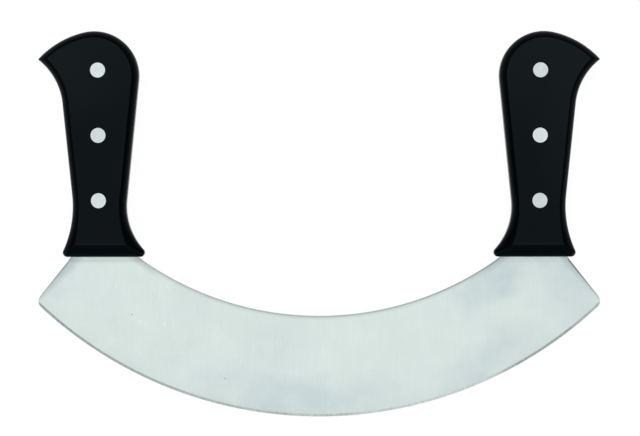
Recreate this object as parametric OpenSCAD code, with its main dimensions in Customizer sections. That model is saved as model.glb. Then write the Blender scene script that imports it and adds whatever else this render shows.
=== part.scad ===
// Mezzaluna: a single crescent blade with an upright riveted handle at each end.
// It lies on its side. X runs along the blade from tip to tip, Y from the cutting
// edge to the tops of the handles and Z through the thickness. The origin is under
// the middle of the whole outline, on the plane that the lower scales lie on.

/* [Blade] */
// Length of the blade from tip to tip
blade_l = 300; // [270:1:330]
// Radius of the arc that the cutting edge follows
edge_r = 218; // [210:1:240]
// Width of the blade from its spine to the cutting edge
blade_w = 53.8; // [48:0.1:60]
// Thickness of the steel sheet, which the tangs keep
sheet_t = 2; // [1.5:0.1:3]
// Angle of the sloping ends away from square to the chord
end_angle = 38.3; // [32:0.1:42]
// Radius that rounds each tip
tip_r = 4.3; // [2:0.1:7]
// Width of the broken corners along the spine
break_w = 0.8; // [0.2:0.1:1.2]
// Thickness left at the sloping ends, where the ground sheet's corners are broken too
end_t = 0.5; // [0.3:0.05:0.65]
// Slope of the broken corners away from the faces of the sheet
break_angle = 25; // [15:1:40]

/* [Grind] */
// Thickness left where the flat grind meets the cutting bevel
shoulder_t = 0.7; // [0.5:0.1:1.2]
// Thickness left at the cutting edge itself
edge_t = 0.1; // [0.05:0.05:0.3]
// Width of the cutting bevel
bevel_w = 1.4; // [0.8:0.1:3]
// Strip along the spine that the grind leaves at full thickness
spine_strip_w = 1; // [0.5:0.1:4]
// Distance below the handles at which the grind runs out
runout_gap = 2; // [1:0.1:6]
// Slope at which the grind runs out towards the handles
runout_angle = 15; // [8:1:45]

/* [Handle] */
// Height of a handle
handle_h = 120.5; // [114:0.5:135]
// Distance from a tip of the blade in to the line of rivets
handle_inset = 32.5; // [28:0.5:36]
// Height of the foot of the handles above the centres of the rounded tips
handle_rise = 23.7; // [20:0.1:30]
// Thickness of one scale
scale_t = 8.5; // [7:0.1:11]
// Distance from the line of rivets to the waist on the outer side
waist_out = 14; // [11:0.1:16]
// Distance from the line of rivets to the waist on the inner side
waist_in = 14.8; // [12:0.1:18]
// Height of the waist above the foot
waist_v = 27; // [24:0.5:30]
// Radius of the flare from the waist to the foot on the outer side
flare_out_r = 57; // [50:1:80]
// Radius of the flare from the waist to the foot on the inner side
flare_in_r = 34; // [32:1:60]
// Lean of the straight outer side above the waist
lean_out = 6; // [3:0.1:8]
// Lean of the straight inner side above the waist
lean_in = 5.7; // [3:0.1:8]
// Radius of the rounded shoulder on the inner side of the crown
shoulder_r = 23.9; // [20:0.1:26]
// Radius of the flatter back that runs from the shoulder to the beak
back_r = 48; // [38:0.5:60]
// Direction, up from the beak side, in which the shoulder passes into the back
back_angle = 77; // [70:1:88]
// Height at which the outer side starts to hook out to the beak
hook_v = 82; // [76:0.5:88]
// Radius of the hook under the beak
hook_r = 34; // [28:0.1:45]
// Radius that rounds the point of the beak
beak_r = 0.6; // [0.3:0.1:1.5]
// Radius that rounds the two corners of the foot
foot_r = 2.4; // [1:0.1:3]

/* [Rounded edges] */
// Width in plan of the rounded edge round the sides and the crown
round_w = 3.6; // [2:0.1:5]
// Width in plan of the same rounding along the foot
foot_round_w = 6.2; // [3:0.1:9]
// Height of the upright wall between the tang and the rounding
wall_h = 1.4; // [0.6:0.1:3]
// Radius left in the corners of the crease round the flat face
crease_r = 0.2; // [0.1:0.05:0.4]

/* [Rivets] */
// Height of the lowest rivet above the foot
rivet_v = 30; // [26:0.5:34]
// Height from one rivet to the next
rivet_pitch = 34.7; // [30:0.1:36]
// Lean of the line of rivets out towards the beak
rivet_lean = 0.35; // [0:0.05:1.5]
// Diameter of a rivet's head
head_d = 8; // [7:0.1:10]
// Thickness of a rivet's head
head_t = 2; // [1.2:0.1:3]
// Outside diameter of the hollow shank
shank_d = 5; // [4.6:0.1:6]
// Diameter of the solid post, which is pressed into the hollow shank
post_d = 3.4; // [2.6:0.1:3.8]
// Gap between each end of a shank and the head of the other half
shank_gap = 1; // [0.4:0.1:2]
// Radial clearance of a shank in its hole
hole_clear = 0.1; // [0.05:0.01:0.2]
// Radial clearance of a head in its counterbore
head_clear = 0.03; // [0.01:0.01:0.1]

/* [Hidden] */
RIVETS = ["bottom", "middle", "top"];
SIDES = ["left", "right"];

$fn = 96;
// Facets of the long arcs of the blade, which are over 100 mm in radius
arc_fn = 720;
// Pieces in each arc of a handle's outline and in the rounding of its edges
corner_n = 4;
flare_n = 9;
crown_n = 18;
round_n = 7;

steel = [0.84, 0.87, 0.87];
plastic = [0.09, 0.1, 0.11];
rivet_steel = [0.8, 0.84, 0.84];

// Heights h are measured from the lowest point of the edge, and the centre of the
// blade's arcs stands one edge radius above it.
spine_r = edge_r - blade_w;
// How far a rounding stands proud of the lines it joins, so that they cross it
proud = 0.02;
tip_x = blade_l / 2 - tip_r;
tip_h = edge_r - sqrt(pow(edge_r - tip_r + proud, 2) - pow(tip_x, 2));
foot_h = tip_h + handle_rise;
overall_h = foot_h + handle_h;
handle_x = blade_l / 2 - handle_inset;
mid_z = scale_t + sheet_t / 2;

// Place of the sloping end line at height h
function end_x(h) = tip_x + (tip_r - proud - (h - tip_h) * sin(end_angle)) / cos(end_angle);

// Overlap of shapes that are joined into one
lap = 1;
// Room past the solid that a cut runs
over = 5;

// Points of an arc of n pieces round centre c, from angle a0 to a1
function arc(c, r, a0, a1, n) =
    [for (i = [0:n]) let (a = a0 + (a1 - a0) * i / n) c + r * [cos(a), sin(a)]];
// Direction from point a to point b, from 0 to 360 degrees
function bearing(a, b) = (atan2(b.y - a.y, b.x - a.x) + 360) % 360;
// Point that lies ra from a and rb from b, to the left of the way from a to b
function meet(a, ra, b, rb) =
    let (
        ab = b - a,
        d = norm(ab),
        along = (ra * ra - rb * rb + d * d) / (2 * d),
        aside = sqrt(ra * ra - along * along)
    )
    a + (along * ab + aside * [-ab.y, ab.x]) / d;

// Centres of the arcs of the right handle's outline. Its origin is the foot of the
// line of rivets, with x towards the beak and y up.
flare_out_c = [waist_out + flare_out_r, waist_v];
flare_in_c = [-waist_in - flare_in_r, waist_v];
side_out = flare_out_c + flare_out_r * [-cos(lean_out), sin(lean_out)];
side_in = flare_in_c + flare_in_r * [cos(lean_in), sin(lean_in)];
hook_start = side_out + (hook_v - side_out.y) * [tan(lean_out), 1];
hook_c = hook_start + hook_r * [cos(lean_out), -sin(lean_out)];
shoulder_y = handle_h - shoulder_r;
// The shoulder touches the straight inner side
shoulder_x = side_in.x + (shoulder_r - (shoulder_y - side_in.y) * sin(lean_in)) / cos(lean_in);
shoulder_c = [shoulder_x, shoulder_y];
back_c = shoulder_c - (back_r - shoulder_r) * [cos(back_angle), sin(back_angle)];

// Outline of a handle drawn in by inset all round and by foot_inset along the foot
function handle_outline(inset = 0, foot_inset = 0) =
    let (
        foot = max(foot_r - inset, crease_r),
        beak = max(beak_r - inset, crease_r),
        foot_y = foot_inset + foot,
        out_reach = flare_out_r + inset + foot,
        in_reach = flare_in_r + inset + foot,
        out_c = [flare_out_c.x - sqrt(pow(out_reach, 2) - pow(foot_y - waist_v, 2)), foot_y],
        in_c = [flare_in_c.x + sqrt(pow(in_reach, 2) - pow(foot_y - waist_v, 2)), foot_y],
        beak_c = meet(back_c, back_r - inset - beak, hook_c, hook_r + inset + beak),
        back_end = bearing(back_c, beak_c),
        hook_end = bearing(hook_c, beak_c)
    )
    concat(
        arc(out_c, foot, -90, bearing(out_c, flare_out_c), corner_n),
        tail(arc(flare_out_c, flare_out_r + inset, bearing(flare_out_c, out_c), 180 - lean_out, flare_n)),
        arc(hook_c, hook_r + inset, 180 - lean_out, hook_end, flare_n),
        tail(arc(beak_c, beak, hook_end - 180, back_end, corner_n)),
        tail(arc(back_c, back_r - inset, back_end, back_angle, flare_n)),
        tail(arc(shoulder_c, shoulder_r - inset, back_angle, 180 + lean_in, crown_n)),
        arc(flare_in_c, flare_in_r + inset, lean_in, bearing(flare_in_c, in_c) - 360, flare_n),
        tail(arc(in_c, foot, bearing(in_c, flare_in_c), 270, corner_n))
    );
function tail(list) = [for (i = [1:len(list) - 1]) list[i]];

// Section of the rounded edge: from the top of the wall, upright, to the crease
rise = scale_t - wall_h;
turn = 2 * atan(round_w / rise);
round_r = round_w / (1 - cos(turn));

// Triangles that fill a ring of n points, laid across it from the foot to the crown
function zip(n) = [
    for (i = [0:floor((n - 1) / 2) - 1]) let (j = n - 1 - i)
        each i + 1 < j - 1 ? [[i, i + 1, j - 1], [i, j - 1, j]] : [[i, i + 1, j]]
];

// Lofts the scale's outlines from the tang up to its flat face
module scale_body() {
    steps = [for (i = [0:round_n]) let (a = turn * i / round_n) round_r * [1 - cos(a), sin(a)]];
    foot_share = foot_round_w / round_w;
    rings = concat(
        [[for (p = handle_outline()) [p.x, p.y, 0]]],
        [for (s = steps) [for (p = handle_outline(s.x, s.x * foot_share)) [p.x, p.y, wall_h + s.y]]]
    );
    n = len(rings[0]);
    last = len(rings) - 1;
    polyhedron(
        points = [for (ring = rings) each ring],
        faces = concat(
            zip(n),
            [for (k = [0:last - 1], i = [0:n - 1]) let (j = (i + 1) % n, a = k * n, b = a + n)
                each [[a + i, b + i, b + j], [a + i, b + j, a + j]]],
            [for (f = zip(n)) [last * n + f[2], last * n + f[1], last * n + f[0]]]
        )
    );
}

// Puts what is drawn for the right side, from the middle of the blade, in its place
module on_side(side) {
    mirror([side == "left" ? 1 : 0, 0, 0]) translate([handle_x, foot_h - overall_h / 2, mid_z]) children();
}
module on_both_sides() {
    children();
    mirror([1, 0, 0]) children();
}
module on_face(face) {
    mirror([0, 0, face == "back" ? 1 : 0]) children();
}
// Place of rivet i, counted up from the foot. The line of rivets leans about its middle.
function rivet_place(i) =
    let (above_middle = (i - (len(RIVETS) - 1) / 2) * rivet_pitch)
    [above_middle * tan(rivet_lean), rivet_v + i * rivet_pitch, 0];
module at_rivets() {
    for (i = [0:len(RIVETS) - 1]) translate(rivet_place(i)) children();
}

module handle_scale(side, face) {
    color(plastic)
    on_side(side) on_face(face) translate([0, 0, sheet_t / 2]) difference() {
        scale_body();
        at_rivets() {
            translate([0, 0, -over]) cylinder(r = shank_d / 2 + hole_clear, h = scale_t + 2 * over);
            translate([0, 0, scale_t - head_t]) cylinder(r = head_d / 2 + head_clear, h = head_t + over);
        }
    }
}

// Waste between a sharp tip and its rounding, drawn from the rounding's centre
module tip_waste() {
    reach = tip_r + over;
    edge_angle = atan2(tip_h - edge_r, tip_x);
    middle = (end_angle + edge_angle) / 2;
    difference() {
        polygon([
            [0, 0],
            reach * [cos(edge_angle), sin(edge_angle)],
            2 * reach * [cos(middle), sin(middle)],
            reach * [cos(end_angle), sin(end_angle)]
        ]);
        circle(r = tip_r);
    }
}

// Crescent between the spine and the cutting edge, with its sloping rounded ends
module crescent() {
    top = foot_h + lap;
    difference() {
        intersection() {
            translate([0, edge_r]) difference() {
                circle(r = edge_r, $fn = arc_fn);
                circle(r = spine_r, $fn = arc_fn);
            }
            polygon([[-end_x(top), top], [-end_x(-over), -over], [end_x(-over), -over], [end_x(top), top]]);
        }
        on_both_sides() translate([tip_x, tip_h]) tip_waste();
    }
}

// Crescent with the two full tangs, which have the outline of the scales, and under
// each a root that laps into the crescent
module sheet() {
    crescent();
    on_both_sides() translate([handle_x, foot_h]) {
        polygon(handle_outline());
        translate([-waist_in, -over]) square([waist_in + waist_out, 2 * over]);
    }
}

// What the grinding of the upper face takes away: the flat grind and the cutting bevel,
// which are both cones about the centre of the arcs, up to the slope where they run out
module ground_away() {
    half = sheet_t / 2;
    start_r = spine_r + spine_strip_w;
    shoulder_at = edge_r - bevel_w;
    grind = (half - shoulder_t / 2) / (shoulder_at - start_r);
    bevel = (shoulder_t - edge_t) / 2 / bevel_w;
    runout_h = foot_h - runout_gap;
    run = tan(runout_angle);
    intersection() {
        translate([0, edge_r]) rotate_extrude($fn = arc_fn) polygon([
            [start_r - lap, half + lap * grind],
            [shoulder_at, shoulder_t / 2],
            [edge_r + lap, edge_t / 2 - lap * bevel],
            [edge_r + lap, half + over],
            [start_r - lap, half + over]
        ]);
        rotate([90, 0, 90]) linear_extrude(height = blade_l + 2 * over, center = true) polygon([
            [-over, -over],
            [runout_h - (half + over) / run, -over],
            [runout_h + (over - half) / run, over],
            [-over, over]
        ]);
    }
}

// What is broken off the spine's upper corner: a cone that runs in under the handles
module broken_spine() {
    half = sheet_t / 2;
    slope = tan(break_angle);
    intersection() {
        translate([0, edge_r]) rotate_extrude($fn = arc_fn) polygon([
            [spine_r - lap, half - (break_w + lap) * slope],
            [spine_r + break_w + lap, half + lap * slope],
            [spine_r - lap, half + lap * slope]
        ]);
        translate([-handle_x, -over, 0]) cube([2 * handle_x, foot_h + over + lap, half + over]);
    }
}

// What is broken off the upper corners of the sloping ends, from the tips up to the feet of
// the handles. It widens upwards, as the ground sheet gets thicker.
module broken_ends() {
    half = sheet_t / 2;
    slope = tan(break_angle);
    reach = (half - end_t / 2) / slope + lap;
    on_both_sides() intersection() {
        translate([tip_x, tip_h]) rotate(end_angle) translate([tip_r - proud, 0]) rotate([90, 0, 0])
            linear_extrude(height = 2 * blade_w, center = true) polygon([
                [lap, end_t / 2 - lap * slope],
                [lap, half + lap * slope],
                [-reach, half + lap * slope]
            ]);
        translate([handle_x, -over, 0]) cube([blade_l, foot_h + over, half + over]);
    }
}

module blade() {
    color(steel)
    translate([0, -overall_h / 2, mid_z]) difference() {
        linear_extrude(height = sheet_t, center = true) sheet();
        for (face = ["front", "back"]) on_face(face) {
            ground_away();
            broken_spine();
            broken_ends();
        }
        on_both_sides() translate([handle_x, foot_h, -over]) at_rivets()
            cylinder(r = shank_d / 2 + hole_clear, h = 2 * over);
    }
}

// Each rivet is two halves. Their heads lie flush with the faces of the scales, and the
// solid post of the front half is pressed into the hollow shank of the back half.
head_z = sheet_t / 2 + scale_t - head_t;
shank_l = 2 * head_z - shank_gap;

module rivet_half(side, i, half) {
    color(rivet_steel)
    on_side(side) translate(rivet_place(i))
    on_face(half == "post" ? "front" : "back") {
        translate([0, 0, head_z]) cylinder(r = head_d / 2, h = head_t);
        if (half == "post") {
            translate([0, 0, head_z - shank_l]) cylinder(r = post_d / 2, h = shank_l + lap);
        } else {
            translate([0, 0, head_z - shank_l]) difference() {
                cylinder(r = shank_d / 2, h = shank_l + lap);
                translate([0, 0, -lap]) cylinder(r = post_d / 2, h = shank_l + lap);
            }
        }
    }
}

blade();
handle_scale("left", "front");  // left_front_scale
handle_scale("left", "back");  // left_back_scale
handle_scale("right", "front");  // right_front_scale
handle_scale("right", "back");  // right_back_scale
for (side = SIDES, i = [0:len(RIVETS) - 1], half = ["post", "socket"]) {
    rivet_half(side, i, half);
}
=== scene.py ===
import math

import bmesh
import bpy
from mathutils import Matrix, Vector
from mathutils.geometry import delaunay_2d_cdt


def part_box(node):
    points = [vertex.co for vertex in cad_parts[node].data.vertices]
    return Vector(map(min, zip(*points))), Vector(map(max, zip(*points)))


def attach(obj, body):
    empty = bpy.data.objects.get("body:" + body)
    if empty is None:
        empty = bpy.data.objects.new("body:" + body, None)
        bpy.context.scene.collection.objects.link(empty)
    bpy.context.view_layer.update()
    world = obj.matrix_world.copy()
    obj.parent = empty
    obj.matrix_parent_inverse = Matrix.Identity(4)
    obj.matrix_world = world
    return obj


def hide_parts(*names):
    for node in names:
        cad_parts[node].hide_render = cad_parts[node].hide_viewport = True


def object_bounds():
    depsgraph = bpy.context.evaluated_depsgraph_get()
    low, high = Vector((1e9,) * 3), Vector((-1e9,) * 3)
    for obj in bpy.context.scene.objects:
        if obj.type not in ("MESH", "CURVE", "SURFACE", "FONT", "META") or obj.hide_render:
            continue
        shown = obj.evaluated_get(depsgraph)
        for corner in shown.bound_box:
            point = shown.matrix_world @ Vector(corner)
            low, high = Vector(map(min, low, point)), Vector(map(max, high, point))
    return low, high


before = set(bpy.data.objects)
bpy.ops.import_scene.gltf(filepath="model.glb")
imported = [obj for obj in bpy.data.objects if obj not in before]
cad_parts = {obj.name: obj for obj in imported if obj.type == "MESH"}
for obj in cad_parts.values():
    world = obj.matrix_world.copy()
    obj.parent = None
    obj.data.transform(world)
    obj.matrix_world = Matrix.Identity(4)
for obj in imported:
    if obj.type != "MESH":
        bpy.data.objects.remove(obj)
cad_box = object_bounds()

# The studio: the knife lies on a white table and is photographed from straight above. A wide
# white ceiling lights it evenly, and the steel and the plastic mirror that ceiling, the dim
# walls under it and the white of the table.
table_size = 6.0
table_drop = 0.00015
table_white = (0.9, 0.9, 0.9, 1.0)
table_glow = 1.02
table_glow_share = 0.93
view_width = 0.342
camera_distance = 1.65
camera_aim = (0.00043, 0.00315)
camera_turn = math.radians(-0.04)
sensor_width = 36.0
room_light = 0.62
# What is mirrored from a direction, by how far up it points, from -1 straight down to 1
mirrored_levels = ((-1.0, 0.9), (-0.03, 0.9), (0.03, 0.3), (0.34, 0.4), (0.52, 0.7), (0.74, 1.0))


def studio_world():
    world = bpy.data.worlds.new("studio")
    bpy.context.scene.world = world
    world.use_nodes = True
    nodes, links = world.node_tree.nodes, world.node_tree.links
    nodes.clear()
    path = nodes.new("ShaderNodeLightPath")
    direction = nodes.new("ShaderNodeTexCoord").outputs["Generated"]
    split = nodes.new("ShaderNodeSeparateXYZ")
    links.new(direction, split.inputs["Vector"])
    share = nodes.new("ShaderNodeMapRange")
    share.inputs["From Min"].default_value = -1.0
    share.inputs["From Max"].default_value = 1.0
    links.new(split.outputs["Z"], share.inputs["Value"])
    band = nodes.new("ShaderNodeValToRGB")
    links.new(share.outputs["Result"], band.inputs["Fac"])
    stops = band.color_ramp.elements
    stops.remove(stops[1])
    for number, (height, level) in enumerate(mirrored_levels):
        stop = stops[0] if number == 0 else stops.new((height + 1.0) / 2.0)
        stop.position = (height + 1.0) / 2.0
        stop.color = (level, level, level, 1.0)
    backdrops = {}
    for kind, level in (("room", room_light), ("mirrored", 1.0), ("seen", 1.0)):
        backdrops[kind] = nodes.new("ShaderNodeBackground")
        backdrops[kind].inputs["Color"].default_value = (1.0, 1.0, 1.0, 1.0)
        backdrops[kind].inputs["Strength"].default_value = level
    links.new(band.outputs["Color"], backdrops["mirrored"].inputs["Color"])
    glossy = nodes.new("ShaderNodeMixShader")
    links.new(path.outputs["Is Glossy Ray"], glossy.inputs["Fac"])
    links.new(backdrops["room"].outputs["Background"], glossy.inputs[1])
    links.new(backdrops["mirrored"].outputs["Background"], glossy.inputs[2])
    straight = nodes.new("ShaderNodeMath")
    straight.operation = "MAXIMUM"
    links.new(path.outputs["Is Camera Ray"], straight.inputs[0])
    links.new(path.outputs["Is Transmission Ray"], straight.inputs[1])
    all_rays = nodes.new("ShaderNodeMixShader")
    links.new(straight.outputs["Value"], all_rays.inputs["Fac"])
    links.new(glossy.outputs["Shader"], all_rays.inputs[1])
    links.new(backdrops["seen"].outputs["Background"], all_rays.inputs[2])
    out = nodes.new("ShaderNodeOutputWorld")
    links.new(all_rays.outputs["Shader"], out.inputs["Surface"])


def table_paper():
    material = bpy.data.materials.new("white_table")
    material.use_nodes = True
    nodes, links = material.node_tree.nodes, material.node_tree.links
    nodes.clear()
    paper = nodes.new("ShaderNodeBsdfDiffuse")
    paper.inputs["Color"].default_value = table_white
    glow = nodes.new("ShaderNodeEmission")
    glow.inputs["Strength"].default_value = table_glow
    path = nodes.new("ShaderNodeLightPath")
    straight = nodes.new("ShaderNodeMath")
    straight.operation = "MAXIMUM"
    links.new(path.outputs["Is Camera Ray"], straight.inputs[0])
    links.new(path.outputs["Is Transmission Ray"], straight.inputs[1])
    seen = nodes.new("ShaderNodeMath")
    seen.operation = "MAXIMUM"
    links.new(straight.outputs["Value"], seen.inputs[0])
    links.new(path.outputs["Is Glossy Ray"], seen.inputs[1])
    share = nodes.new("ShaderNodeMath")
    share.operation = "MULTIPLY"
    share.inputs[1].default_value = table_glow_share
    links.new(seen.outputs["Value"], share.inputs[0])
    lit = nodes.new("ShaderNodeMixShader")
    links.new(share.outputs["Value"], lit.inputs["Fac"])
    links.new(paper.outputs["BSDF"], lit.inputs[1])
    links.new(glow.outputs["Emission"], lit.inputs[2])
    clear = nodes.new("ShaderNodeBsdfTransparent")
    underside = nodes.new("ShaderNodeMixShader")
    links.new(nodes.new("ShaderNodeNewGeometry").outputs["Backfacing"], underside.inputs["Fac"])
    links.new(lit.outputs["Shader"], underside.inputs[1])
    links.new(clear.outputs["BSDF"], underside.inputs[2])
    out = nodes.new("ShaderNodeOutputMaterial")
    links.new(underside.outputs["Shader"], out.inputs["Surface"])
    return material


def lay_table(material):
    half, low = table_size / 2, cad_box[0][2] - table_drop
    mesh = bpy.data.meshes.new("table")
    mesh.from_pydata([(-half, -half, low), (half, -half, low), (half, half, low), (-half, half, low)],
                     [], [(0, 1, 2, 3)])
    mesh.materials.append(material)
    table = bpy.data.objects.new("table", mesh)
    bpy.context.collection.objects.link(table)


def hang_lamp(name, place, size, power):
    light = bpy.data.lights.new(name, "AREA")
    light.shape = "SQUARE"
    light.size = size
    light.energy = power
    lamp = bpy.data.objects.new(name, light)
    lamp.location = place
    lamp.rotation_euler = (-lamp.location).to_track_quat("-Z", "Y").to_euler()
    lamp.visible_glossy = False
    bpy.context.collection.objects.link(lamp)


def hang_camera():
    data = bpy.data.cameras.new("camera")
    data.sensor_width = sensor_width
    data.lens = sensor_width * camera_distance / view_width
    camera = bpy.data.objects.new("camera", data)
    middle = (cad_box[0][2] + cad_box[1][2]) / 2
    camera.location = (*camera_aim, middle + camera_distance)
    camera.rotation_euler = (0.0, 0.0, camera_turn)
    bpy.context.collection.objects.link(camera)
    bpy.context.scene.camera = camera


bpy.context.scene.view_settings.view_transform = "Standard"
studio_world()
lay_table(table_paper())
hang_lamp("overhead", (0.0, 0.3, 2.4), 2.2, 24.0)
hang_lamp("from_the_left", (-1.8, -0.7, 1.8), 1.6, 10.0)
hang_camera()


# The blade: one sheet of stainless steel, stamped to a crescent with a tang at each end. It is
# ground thinner from the spine to the outer arc, which then gets its cutting bevel, and its
# corners are broken with a belt that leaves a satin finish of fine upright scratches.
edge_r = 0.218
blade_w = 0.0538
end_angle = 38.3
tip_r = 0.0043
shoulder_t = 0.0007
edge_t = 0.0001
bevel_w = 0.0014
spine_strip_w = 0.001
runout_gap = 0.002
runout_angle = 15.0
break_w = 0.0008
end_t = 0.0005
break_angle = 25.0
break_runout = 0.002
tang_break_w = 0.00012
waist_out = 0.014
waist_in = 0.0148
waist_v = 0.027
flare_out_r = 0.057
flare_in_r = 0.034
spread_out = 10.9
spread_in = 6.7
lean_out = 6.0
lean_in = 5.7
shoulder_r = 0.0239
back_r = 0.048
back_angle = 77.0
hook_v = 0.082
hook_r = 0.034
beak_r = 0.0006
foot_r = 0.0024
mitre_from = 24.0
mitre_to = 34.0
crease_r = 0.0002
shank_hole_r = 0.0026
blade_low, blade_high = (Vector(corner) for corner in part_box("blade"))
scale_low, scale_high = (Vector(corner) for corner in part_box("right_front_scale"))
half_t = (blade_high.z - blade_low.z) / 2
mid_z = (blade_high.z + blade_low.z) / 2
foot_y = scale_low.y
handle_h = scale_high.y - scale_low.y
handle_x = 0.1175
arcs_c = Vector((0.0, blade_low.y + edge_r))
spine_r = edge_r - blade_w
tip_x = blade_high.x - tip_r
tip_c = Vector((tip_x, arcs_c.y - math.sqrt((edge_r - tip_r) ** 2 - tip_x ** 2)))


def rivet_places(side):
    places = []
    for level in ("bottom", "middle", "top"):
        low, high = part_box(f"{side}_{level}_rivet_post")
        places.append(Vector(((low[0] + high[0]) / 2, (low[1] + high[1]) / 2)))
    return places


def arc(centre, radius, start, end, steps):
    turns = [math.radians(start + (end - start) * i / steps) for i in range(steps + 1)]
    return [centre + radius * Vector((math.cos(a), math.sin(a))) for a in turns]


def bearing(a, b):
    return math.degrees(math.atan2(b.y - a.y, b.x - a.x)) % 360


def meet(a, reach_a, b, reach_b):
    ab = b - a
    along = (reach_a ** 2 - reach_b ** 2 + ab.length_squared) / (2 * ab.length)
    aside = math.sqrt(reach_a ** 2 - along ** 2)
    return a + (along * ab + aside * Vector((-ab.y, ab.x))) / ab.length


def sloped(degrees):
    return Vector((math.cos(math.radians(degrees)), math.sin(math.radians(degrees))))


def handle_outline(inset=0.0, foot_inset=0.0):
    """The right handle from above, from the foot of its rivets, counter-clockwise. Inside the
    outline the lower flares grow flatter, which leaves the face narrower at the foot."""
    flare_out_c = Vector((waist_out + flare_out_r, waist_v))
    flare_in_c = Vector((-waist_in - flare_in_r, waist_v))
    side_out = flare_out_c + flare_out_r * sloped(180 - lean_out)
    side_in = flare_in_c + flare_in_r * sloped(lean_in)
    rise = hook_v - side_out.y
    hook_start = side_out + rise * Vector((math.tan(math.radians(lean_out)), 1.0))
    hook_c = hook_start + hook_r * sloped(-lean_out)
    shoulder_y = handle_h - shoulder_r
    in_slope = sloped(lean_in)
    shoulder_x = side_in.x + (shoulder_r - (shoulder_y - side_in.y) * in_slope.y) / in_slope.x
    shoulder_c = Vector((shoulder_x, shoulder_y))
    back_c = shoulder_c - (back_r - shoulder_r) * sloped(back_angle)
    foot = max(foot_r - inset, crease_r)
    beak = max(beak_r - inset, crease_r)
    corner_y = foot_inset + foot
    out_r = flare_out_r + inset * spread_out
    in_r = flare_in_r + inset * spread_in
    low_out_c = Vector((waist_out - inset + out_r, waist_v))
    low_in_c = Vector((-waist_in + inset - in_r, waist_v))
    drop = corner_y - waist_v
    out_c = Vector((low_out_c.x - math.sqrt((out_r + foot) ** 2 - drop ** 2), corner_y))
    in_c = Vector((low_in_c.x + math.sqrt((in_r + foot) ** 2 - drop ** 2), corner_y))
    beak_c = meet(back_c, back_r - inset - beak, hook_c, hook_r + inset + beak)
    back_end = bearing(back_c, beak_c)
    hook_end = bearing(hook_c, beak_c)
    return (
        arc(out_c, foot, -90, -mitre_to, 5)
        + arc(out_c, foot, -mitre_to, -mitre_from, 1)[1:]
        + arc(out_c, foot, -mitre_from, bearing(out_c, low_out_c), 6)[1:]
        + arc(low_out_c, out_r, bearing(low_out_c, out_c), 180, 24)[1:]
        + arc(flare_out_c, flare_out_r + inset, 180, 180 - lean_out, 6)[1:]
        + arc(hook_c, hook_r + inset, 180 - lean_out, hook_end, 24)
        + arc(beak_c, beak, hook_end - 180, back_end, 10)[1:]
        + arc(back_c, back_r - inset, back_end, back_angle, 24)[1:]
        + arc(shoulder_c, shoulder_r - inset, back_angle, 180 + lean_in, 44)[1:]
        + arc(flare_in_c, flare_in_r + inset, lean_in, 0, 6)
        + arc(low_in_c, in_r, 0, bearing(low_in_c, in_c) - 360, 24)[1:]
        + arc(in_c, foot, bearing(in_c, low_in_c), 180 + mitre_from, 6)[1:]
        + arc(in_c, foot, 180 + mitre_from, 180 + mitre_to, 1)[1:]
        + arc(in_c, foot, 180 + mitre_to, 270, 5)[1:]
    )


def half_thickness(point):
    """Half the thickness of the ground sheet, before its corners are broken"""
    from_centre = (point - arcs_c).length
    start_r = spine_r + spine_strip_w
    shoulder_at = edge_r - bevel_w
    if from_centre > shoulder_at:
        ground = shoulder_t / 2 - (from_centre - shoulder_at) * (shoulder_t - edge_t) / 2 / bevel_w
    else:
        ground = half_t - (from_centre - start_r) * (half_t - shoulder_t / 2) / (shoulder_at - start_r)
    runout = half_t - (foot_y - runout_gap - point.y) * math.tan(math.radians(runout_angle))
    return min(half_t, max(ground, runout))


def broken(point, width):
    """The width of the broken corner at a point, and half the thickness that it leaves. The belt
    can't get under the handles, so the broken corner runs out just below them."""
    reach = max(0.0, min(1.0, (foot_y - point.y) / break_runout))
    width = max(tang_break_w, width * math.sin(reach * math.pi / 2))
    return width, half_thickness(point) - width * math.tan(math.radians(break_angle))


def end_break(point):
    """The same at an end, where the corner is broken until the edge has the end's thickness, or
    as far as along the spine"""
    spare = max(0.0, half_thickness(point) - end_t / 2)
    return broken(point, min(break_w, spare / math.tan(math.radians(break_angle))))


def blade_outline():
    """The right half of the blade's outline from the bottom of the edge round to the spine, as
    points with the width of the broken corner there and half the thickness that it leaves"""
    to_tip = bearing(arcs_c, tip_c)
    end_top = tip_c + tip_r * sloped(end_angle)
    end_line = sloped(end_angle + 90)
    end_length = (foot_y - end_top.y) / end_line.y
    runout_at = 1 - break_runout / end_line.y / end_length
    end_shares = [runout_at * i / 14 for i in range(1, 15)]
    end_shares += [runout_at + (1 - runout_at) * i / 8 for i in range(1, 9)]
    spine_x = math.sqrt(spine_r ** 2 - (arcs_c.y - foot_y) ** 2)
    spine_end = bearing(arcs_c, Vector((spine_x, foot_y)))
    tip_points = arc(tip_c, tip_r, to_tip - 360, end_angle, 18)
    ends = [end_top + end_line * end_length * share for share in end_shares]
    handle = [point + Vector((handle_x, foot_y)) for point in handle_outline()]
    points = [(point, 0.0003, half_t) for point in arc(arcs_c, edge_r, 270, to_tip, 130)]
    for number, point in enumerate(tip_points[1:]):
        width, left = end_break(point)
        share = number / (len(tip_points) - 2)
        points.append((point, 0.0003 + (width - 0.0003) * share, half_t + (left - half_t) * share))
    points += [(point, *end_break(point)) for point in ends]
    points += [(point, *broken(point, tang_break_w)) for point in handle]
    spine = arc(arcs_c, spine_r, spine_end, 270, 160)
    return points + [(point, *broken(point, break_w)) for point in spine]


def mirrored_whole(points):
    """Both halves of an outline whose right half starts and ends on the middle"""
    left = [(Vector((-point[0].x, point[0].y)), *point[1:]) for point in reversed(points[1:-1])]
    return points + left


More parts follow.
